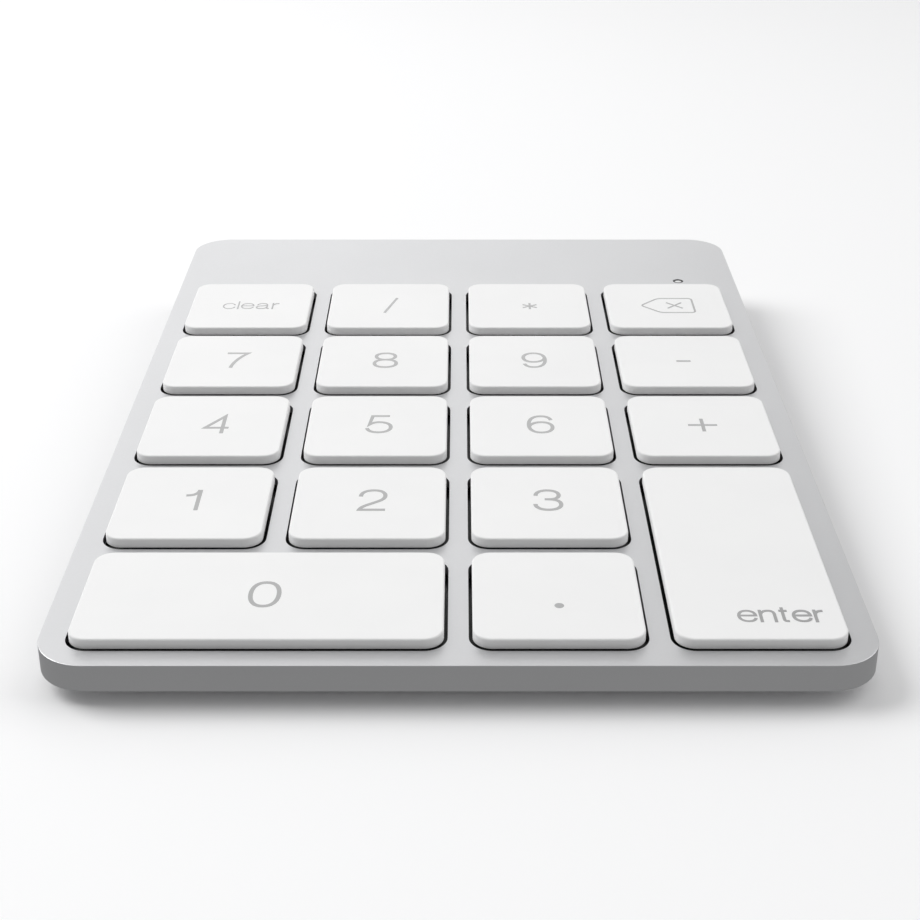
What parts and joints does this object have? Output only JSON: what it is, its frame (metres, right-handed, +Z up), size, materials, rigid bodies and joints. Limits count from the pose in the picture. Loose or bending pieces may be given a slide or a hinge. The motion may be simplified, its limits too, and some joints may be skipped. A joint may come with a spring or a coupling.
{
  "type": "numeric keypad",
  "caption": "Slim wireless numeric keypad: a wedge-shaped satin aluminium case with flat white scissor keys, a rear charging port and rubber feet.",
  "frame": {"origin": "on the floor under the middle of the object, in the plane of the feet's undersides", "axes": "+X to the right as the keys are read, +Y to the rear edge with the charging port, +Z up; the deck rises 2.6 degrees towards +Y"},
  "size_m": [0.0792, 0.117, 0.0098],
  "materials": {
    "keycap": "satin",
    "case": "fine blasted satin",
    "cover": "matt",
    "foot": "matt",
    "screw": "satin",
    "plate": "black coat",
    "steel_wire": "drawn",
    "membrane": "black film",
    "dome": "matt",
    "link": "satin",
    "board": "solder mask",
    "black_plastic": "matt",
    "shield": "satin",
    "socket": "satin",
    "knob": "satin",
    "diode": "gloss",
    "light_guide": "clear",
    "cell": "foil",
    "tape": "foam",
    "wire": "gloss"
  },
  "bodies": {
    "case": {"top_case": "case", "bottom_cover": "cover", "rubber_feet": "foot", "case_screws": "screw", "plate_screws": "screw", "switch_plate": "plate", "switch_membrane": "membrane", "rubber_domes": "dome", "scissor_inner_links": "link", "main_board": "board", "membrane_connector": "black_plastic", "radio_module": "shield", "usb_socket": "socket", "power_switch_body": "black_plastic", "status_led": "diode", "status_light_guide": "light_guide", "battery": "cell", "battery_tape": "tape", "battery_leads": "wire", "pairing_switch": "black_plastic"},
    "key_clear": {"keycap_clear": "keycap"},
    "link_clear": {"scissor_outer_clear": "link"},
    "key_divide": {"keycap_divide": "keycap"},
    "link_divide": {"scissor_outer_divide": "link"},
    "key_multiply": {"keycap_multiply": "keycap"},
    "link_multiply": {"scissor_outer_multiply": "link"},
    "key_delete": {"keycap_delete": "keycap"},
    "link_delete": {"scissor_outer_delete": "link"},
    "key_7": {"keycap_7": "keycap"},
    "link_7": {"scissor_outer_7": "link"},
    "key_8": {"keycap_8": "keycap"},
    "link_8": {"scissor_outer_8": "link"},
    "key_9": {"keycap_9": "keycap"},
    "link_9": {"scissor_outer_9": "link"},
    "key_subtract": {"keycap_subtract": "keycap"},
    "link_subtract": {"scissor_outer_subtract": "link"},
    "key_4": {"keycap_4": "keycap"},
    "link_4": {"scissor_outer_4": "link"},
    "key_5": {"keycap_5": "keycap"},
    "link_5": {"scissor_outer_5": "link"},
    "key_6": {"keycap_6": "keycap"},
    "link_6": {"scissor_outer_6": "link"},
    "key_add": {"keycap_add": "keycap"},
    "link_add": {"scissor_outer_add": "link"},
    "key_1": {"keycap_1": "keycap"},
    "link_1": {"scissor_outer_1": "link"},
    "key_2": {"keycap_2": "keycap"},
    "link_2": {"scissor_outer_2": "link"},
    "key_3": {"keycap_3": "keycap"},
    "link_3": {"scissor_outer_3": "link"},
    "key_enter": {"keycap_enter": "keycap"},
    "link_enter": {"scissor_outer_enter": "link"},
    "stabiliser_enter": {"stabiliser_bar_enter": "steel_wire"},
    "key_0": {"keycap_0": "keycap"},
    "link_0": {"scissor_outer_0": "link"},
    "stabiliser_0": {"stabiliser_bar_0": "steel_wire"},
    "key_decimal": {"keycap_decimal": "keycap"},
    "link_decimal": {"scissor_outer_decimal": "link"},
    "power_slider": {"power_switch_knob": "knob"},
    "pairing_button": {"pairing_button": "knob"}
  },
  "joints": [
    {"name": "press_clear", "type": "slide", "parent": "case", "child": "key_clear", "axis": [0, 0.0454, -0.999], "range_m": [0, 0.001], "stiffness_N_per_m": 500, "springref_m": -0.0005, "deforming": ["rubber_domes", "scissor_inner_links"]},
    {"name": "link_turn_clear", "type": "hinge", "parent": "case", "child": "link_clear", "pos_m": [-0.0285, 0.03305, 0.00711], "axis": [1, 0, 0], "range_deg": [0, 6.28]},
    {"name": "press_divide", "type": "slide", "parent": "case", "child": "key_divide", "axis": [0, 0.0454, -0.999], "range_m": [0, 0.001], "stiffness_N_per_m": 500, "springref_m": -0.0005, "deforming": ["rubber_domes", "scissor_inner_links"]},
    {"name": "link_turn_divide", "type": "hinge", "parent": "case", "child": "link_divide", "pos_m": [-0.0095, 0.03305, 0.00711], "axis": [1, 0, 0], "range_deg": [0, 6.28]},
    {"name": "press_multiply", "type": "slide", "parent": "case", "child": "key_multiply", "axis": [0, 0.0454, -0.999], "range_m": [0, 0.001], "stiffness_N_per_m": 500, "springref_m": -0.0005, "deforming": ["rubber_domes", "scissor_inner_links"]},
    {"name": "link_turn_multiply", "type": "hinge", "parent": "case", "child": "link_multiply", "pos_m": [0.0095, 0.03305, 0.00711], "axis": [1, 0, 0], "range_deg": [0, 6.28]},
    {"name": "press_delete", "type": "slide", "parent": "case", "child": "key_delete", "axis": [0, 0.0454, -0.999], "range_m": [0, 0.001], "stiffness_N_per_m": 500, "springref_m": -0.0005, "deforming": ["rubber_domes", "scissor_inner_links"]},
    {"name": "link_turn_delete", "type": "hinge", "parent": "case", "child": "link_delete", "pos_m": [0.0285, 0.03305, 0.00711], "axis": [1, 0, 0], "range_deg": [0, 6.28]},
    {"name": "press_7", "type": "slide", "parent": "case", "child": "key_7", "axis": [0, 0.0454, -0.999], "range_m": [0, 0.001], "stiffness_N_per_m": 500, "springref_m": -0.0005, "deforming": ["rubber_domes", "scissor_inner_links"]},
    {"name": "link_turn_7", "type": "hinge", "parent": "case", "child": "link_7", "pos_m": [-0.0285, 0.01407, 0.00624], "axis": [1, 0, 0], "range_deg": [0, 6.28]},
    {"name": "press_8", "type": "slide", "parent": "case", "child": "key_8", "axis": [0, 0.0454, -0.999], "range_m": [0, 0.001], "stiffness_N_per_m": 500, "springref_m": -0.0005, "deforming": ["rubber_domes", "scissor_inner_links"]},
    {"name": "link_turn_8", "type": "hinge", "parent": "case", "child": "link_8", "pos_m": [-0.0095, 0.01407, 0.00624], "axis": [1, 0, 0], "range_deg": [0, 6.28]},
    {"name": "press_9", "type": "slide", "parent": "case", "child": "key_9", "axis": [0, 0.0454, -0.999], "range_m": [0, 0.001], "stiffness_N_per_m": 500, "springref_m": -0.0005, "deforming": ["rubber_domes", "scissor_inner_links"]},
    {"name": "link_turn_9", "type": "hinge", "parent": "case", "child": "link_9", "pos_m": [0.0095, 0.01407, 0.00624], "axis": [1, 0, 0], "range_deg": [0, 6.28]},
    {"name": "press_subtract", "type": "slide", "parent": "case", "child": "key_subtract", "axis": [0, 0.0454, -0.999], "range_m": [0, 0.001], "stiffness_N_per_m": 500, "springref_m": -0.0005, "deforming": ["rubber_domes", "scissor_inner_links"]},
    {"name": "link_turn_subtract", "type": "hinge", "parent": "case", "child": "link_subtract", "pos_m": [0.0285, 0.01407, 0.00624], "axis": [1, 0, 0], "range_deg": [0, 6.28]},
    {"name": "press_4", "type": "slide", "parent": "case", "child": "key_4", "axis": [0, 0.0454, -0.999], "range_m": [0, 0.001], "stiffness_N_per_m": 500, "springref_m": -0.0005, "deforming": ["rubber_domes", "scissor_inner_links"]},
    {"name": "link_turn_4", "type": "hinge", "parent": "case", "child": "link_4", "pos_m": [-0.0285, -0.00491, 0.00538], "axis": [1, 0, 0], "range_deg": [0, 6.28]},
    {"name": "press_5", "type": "slide", "parent": "case", "child": "key_5", "axis": [0, 0.0454, -0.999], "range_m": [0, 0.001], "stiffness_N_per_m": 500, "springref_m": -0.0005, "deforming": ["rubber_domes", "scissor_inner_links"]},
    {"name": "link_turn_5", "type": "hinge", "parent": "case", "child": "link_5", "pos_m": [-0.0095, -0.00491, 0.00538], "axis": [1, 0, 0], "range_deg": [0, 6.28]},
    {"name": "press_6", "type": "slide", "parent": "case", "child": "key_6", "axis": [0, 0.0454, -0.999], "range_m": [0, 0.001], "stiffness_N_per_m": 500, "springref_m": -0.0005, "deforming": ["rubber_domes", "scissor_inner_links"]},
    {"name": "link_turn_6", "type": "hinge", "parent": "case", "child": "link_6", "pos_m": [0.0095, -0.00491, 0.00538], "axis": [1, 0, 0], "range_deg": [0, 6.28]},
    {"name": "press_add", "type": "slide", "parent": "case", "child": "key_add", "axis": [0, 0.0454, -0.999], "range_m": [0, 0.001], "stiffness_N_per_m": 500, "springref_m": -0.0005, "deforming": ["rubber_domes", "scissor_inner_links"]},
    {"name": "link_turn_add", "type": "hinge", "parent": "case", "child": "link_add", "pos_m": [0.0285, -0.00491, 0.00538], "axis": [1, 0, 0], "range_deg": [0, 6.28]},
    {"name": "press_1", "type": "slide", "parent": "case", "child": "key_1", "axis": [0, 0.0454, -0.999], "range_m": [0, 0.001], "stiffness_N_per_m": 500, "springref_m": -0.0005, "deforming": ["rubber_domes", "scissor_inner_links"]},
    {"name": "link_turn_1", "type": "hinge", "parent": "case", "child": "link_1", "pos_m": [-0.0285, -0.02389, 0.00452], "axis": [1, 0, 0], "range_deg": [0, 6.28]},
    {"name": "press_2", "type": "slide", "parent": "case", "child": "key_2", "axis": [0, 0.0454, -0.999], "range_m": [0, 0.001], "stiffness_N_per_m": 500, "springref_m": -0.0005, "deforming": ["rubber_domes", "scissor_inner_links"]},
    {"name": "link_turn_2", "type": "hinge", "parent": "case", "child": "link_2", "pos_m": [-0.0095, -0.02389, 0.00452], "axis": [1, 0, 0], "range_deg": [0, 6.28]},
    {"name": "press_3", "type": "slide", "parent": "case", "child": "key_3", "axis": [0, 0.0454, -0.999], "range_m": [0, 0.001], "stiffness_N_per_m": 500, "springref_m": -0.0005, "deforming": ["rubber_domes", "scissor_inner_links"]},
    {"name": "link_turn_3", "type": "hinge", "parent": "case", "child": "link_3", "pos_m": [0.0095, -0.02389, 0.00452], "axis": [1, 0, 0], "range_deg": [0, 6.28]},
    {"name": "press_enter", "type": "slide", "parent": "case", "child": "key_enter", "axis": [0, 0.0454, -0.999], "range_m": [0, 0.001], "stiffness_N_per_m": 600, "springref_m": -0.0005, "deforming": ["rubber_domes", "scissor_inner_links"]},
    {"name": "link_turn_enter", "type": "hinge", "parent": "case", "child": "link_enter", "pos_m": [0.0285, -0.03338, 0.00409], "axis": [1, 0, 0], "range_deg": [0, 6.28]},
    {"name": "stabiliser_turn_enter", "type": "hinge", "parent": "case", "child": "stabiliser_enter", "pos_m": [0.0297, -0.03797, 0.00388], "axis": [0, 0.999, 0.0454], "range_deg": [0, 11.7]},
    {"name": "press_0", "type": "slide", "parent": "case", "child": "key_0", "axis": [0, 0.0454, -0.999], "range_m": [0, 0.001], "stiffness_N_per_m": 600, "springref_m": -0.0005, "deforming": ["rubber_domes", "scissor_inner_links"]},
    {"name": "link_turn_0", "type": "hinge", "parent": "case", "child": "link_0", "pos_m": [-0.019, -0.04287, 0.00366], "axis": [1, 0, 0], "range_deg": [0, 6.28]},
    {"name": "stabiliser_turn_0", "type": "hinge", "parent": "case", "child": "stabiliser_0", "pos_m": [-0.019, -0.04866, 0.0034], "axis": [1, 0, 0], "range_deg": [0, 11.7]},
    {"name": "press_decimal", "type": "slide", "parent": "case", "child": "key_decimal", "axis": [0, 0.0454, -0.999], "range_m": [0, 0.001], "stiffness_N_per_m": 500, "springref_m": -0.0005, "deforming": ["rubber_domes", "scissor_inner_links"]},
    {"name": "link_turn_decimal", "type": "hinge", "parent": "case", "child": "link_decimal", "pos_m": [0.0095, -0.04287, 0.00366], "axis": [1, 0, 0], "range_deg": [0, 6.28]},
    {"name": "power_slide", "type": "slide", "parent": "case", "child": "power_slider", "axis": [1, 0, 0], "range_m": [0, 0.002]},
    {"name": "pairing_press", "type": "slide", "parent": "case", "child": "pairing_button", "axis": [0, 0, 1], "range_m": [0, 0.00025], "stiffness_N_per_m": 2000, "springref_m": -0.0002}
  ],
  "couplings": [
    {"joint": "link_turn_clear", "follows": "press_clear", "rad_per_m": 109.28},
    {"joint": "link_turn_divide", "follows": "press_divide", "rad_per_m": 109.28},
    {"joint": "link_turn_multiply", "follows": "press_multiply", "rad_per_m": 109.28},
    {"joint": "link_turn_delete", "follows": "press_delete", "rad_per_m": 109.28},
    {"joint": "link_turn_7", "follows": "press_7", "rad_per_m": 109.28},
    {"joint": "link_turn_8", "follows": "press_8", "rad_per_m": 109.28},
    {"joint": "link_turn_9", "follows": "press_9", "rad_per_m": 109.28},
    {"joint": "link_turn_subtract", "follows": "press_subtract", "rad_per_m": 109.28},
    {"joint": "link_turn_4", "follows": "press_4", "rad_per_m": 109.28},
    {"joint": "link_turn_5", "follows": "press_5", "rad_per_m": 109.28},
    {"joint": "link_turn_6", "follows": "press_6", "rad_per_m": 109.28},
    {"joint": "link_turn_add", "follows": "press_add", "rad_per_m": 109.28},
    {"joint": "link_turn_1", "follows": "press_1", "rad_per_m": 109.28},
    {"joint": "link_turn_2", "follows": "press_2", "rad_per_m": 109.28},
    {"joint": "link_turn_3", "follows": "press_3", "rad_per_m": 109.28},
    {"joint": "link_turn_enter", "follows": "press_enter", "rad_per_m": 109.28},
    {"joint": "stabiliser_turn_enter", "follows": "press_enter", "rad_per_m": 203.71},
    {"joint": "link_turn_0", "follows": "press_0", "rad_per_m": 109.28},
    {"joint": "stabiliser_turn_0", "follows": "press_0", "rad_per_m": 203.71},
    {"joint": "link_turn_decimal", "follows": "press_decimal", "rad_per_m": 109.28}
  ]
}
